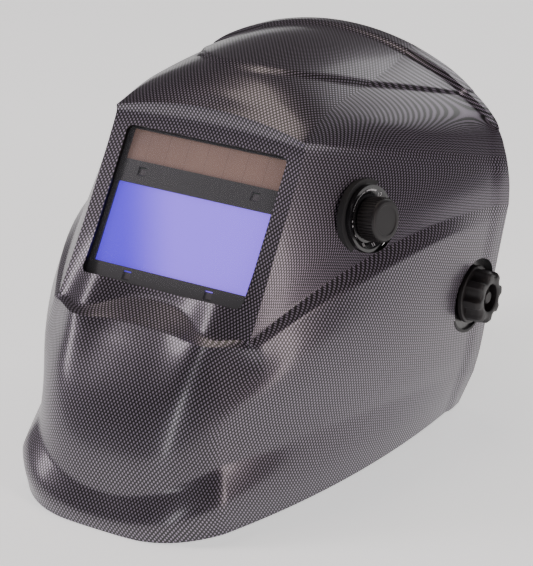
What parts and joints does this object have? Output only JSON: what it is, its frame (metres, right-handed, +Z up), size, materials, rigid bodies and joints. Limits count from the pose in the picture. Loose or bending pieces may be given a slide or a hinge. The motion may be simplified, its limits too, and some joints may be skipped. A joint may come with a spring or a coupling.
{
  "type": "welding helmet",
  "caption": "Auto-darkening welding helmet with a dark viewing window, shade knob on the cheek and a ratchet headgear that pivots so the shell flips up.",
  "frame": {"origin": "middle of the whole helmet's footprint, on the surface it stands on", "axes": "+Z up, -Y out of the window, +X to the wearer's left"},
  "size_m": [0.237, 0.3463, 0.2182],
  "materials": {
    "shell_black": "glossy black nylon with a printed carbon-weave pattern",
    "clear_lens": "clear polycarbonate",
    "case_black": "satin black",
    "filter_blue": "blue-violet interference coating",
    "lcd_green": "dark green liquid crystal cell",
    "solar_brown": "rose-brown solar cell",
    "sensor_grey": "clear sensor windows",
    "board_green": "green solder mask",
    "bare_steel": "bright steel",
    "knob_black": "matt black moulded plastic",
    "button_red": "red plastic",
    "dial_black": "black with white marks",
    "pot_metal": "dull plated metal",
    "cable_black": "black sheath",
    "nylon_black": "black nylon",
    "washer_fibre": "friction washer",
    "band_black": "flexible black polyethylene",
    "pinion_white": "natural acetal",
    "peg_grey": "grey plastic",
    "foam_cloth": "cloth-covered foam"
  },
  "bodies": {
    "shell": {"helmet_shell": "shell_black", "front_cover_lens": "clear_lens", "filter_case_front": "case_black", "filter_case_back": "case_black", "filter_glass": "filter_blue", "lcd_shutter": "lcd_green", "solar_cell": "solar_brown", "arc_sensors": "sensor_grey", "circuit_board": "board_green", "coin_cells": "bare_steel", "inner_cover_lens": "clear_lens", "retaining_frame_pins": "bare_steel", "dial_plate": "dial_black", "potentiometer_body": "pot_metal", "potentiometer_nut": "bare_steel", "shade_cable": "cable_black"},
    "retainer": {"retaining_frame": "case_black"},
    "shade_control": {"shade_knob": "knob_black", "potentiometer_shaft": "bare_steel"},
    "sensitivity_control": {"sensitivity_knob": "knob_black"},
    "delay_control": {"delay_knob": "knob_black"},
    "test_control": {"test_button": "button_red"},
    "headgear": {"pivot_bolt_left": "nylon_black", "pivot_bolt_right": "nylon_black", "pivot_washer_left": "washer_fibre", "pivot_washer_right": "washer_fibre", "side_arm_left": "nylon_black", "side_arm_right": "nylon_black", "headband": "band_black", "rear_strap_left": "band_black", "rear_strap_right": "band_black", "crown_strap_left": "band_black", "crown_strap_right": "band_black", "crown_strap_peg": "peg_grey", "band_rivets": "peg_grey", "front_sweatband": "foam_cloth"},
    "tension_left": {"tension_knob_left": "knob_black"},
    "tension_right": {"tension_knob_right": "knob_black"},
    "rear_unit": {"ratchet_housing": "nylon_black", "ratchet_cover": "nylon_black", "nape_pad": "foam_cloth"},
    "ratchet_dial": {"ratchet_knob": "knob_black", "ratchet_pinion": "pinion_white"}
  },
  "joints": [
    {"name": "headgear_tilt", "type": "hinge", "parent": "shell", "child": "headgear", "pos_m": [0, 0.0456, 0.0794], "axis": [1, 0, 0], "range_deg": [0, 56]},
    {"name": "tension_left_turn", "type": "hinge", "parent": "headgear", "child": "tension_left", "pos_m": [0, 0.0456, 0.0794], "axis": [1, 0, 0], "range_deg": [-180, 180]},
    {"name": "tension_right_turn", "type": "hinge", "parent": "headgear", "child": "tension_right", "pos_m": [0, 0.0456, 0.0794], "axis": [1, 0, 0], "range_deg": [-180, 180]},
    {"name": "shade_turn", "type": "hinge", "parent": "shell", "child": "shade_control", "pos_m": [0.0855, -0.0374, 0.1484], "axis": [0.9785, -0.1323, 0.1582], "range_deg": [-140, 140]},
    {"name": "sensitivity_turn", "type": "hinge", "parent": "shell", "child": "sensitivity_control", "pos_m": [-0.03, -0.05847, 0.1665], "axis": [0, -0.8377, 0.5461], "range_deg": [-135, 135]},
    {"name": "delay_turn", "type": "hinge", "parent": "shell", "child": "delay_control", "pos_m": [0.03, -0.05847, 0.1665], "axis": [0, -0.8377, 0.5461], "range_deg": [-135, 135]},
    {"name": "test_press", "type": "slide", "parent": "shell", "child": "test_control", "axis": [0, -0.8377, 0.5461], "range_m": [0, 0.0008], "stiffness_N_per_m": 500, "springref_m": -0.0005},
    {"name": "retainer_open", "type": "hinge", "parent": "shell", "child": "retainer", "pos_m": [0, -0.04512, 0.18204], "axis": [1, 0, 0], "range_deg": [0, 14]},
    {"name": "rear_unit_slide", "type": "slide", "parent": "headgear", "child": "rear_unit", "axis": [0, 0.9135, -0.4067], "range_m": [-0.0095, 0.0095], "deforming": ["rear_strap_left", "rear_strap_right"]},
    {"name": "ratchet_turn", "type": "hinge", "parent": "rear_unit", "child": "ratchet_dial", "pos_m": [0, 0.15121, 0.0878], "axis": [0, 0.9135, -0.4067], "range_deg": [-140, 140]}
  ],
  "couplings": [
    {"joint": "ratchet_turn", "follows": "rear_unit_slide", "rad_per_m": -256.41}
  ]
}
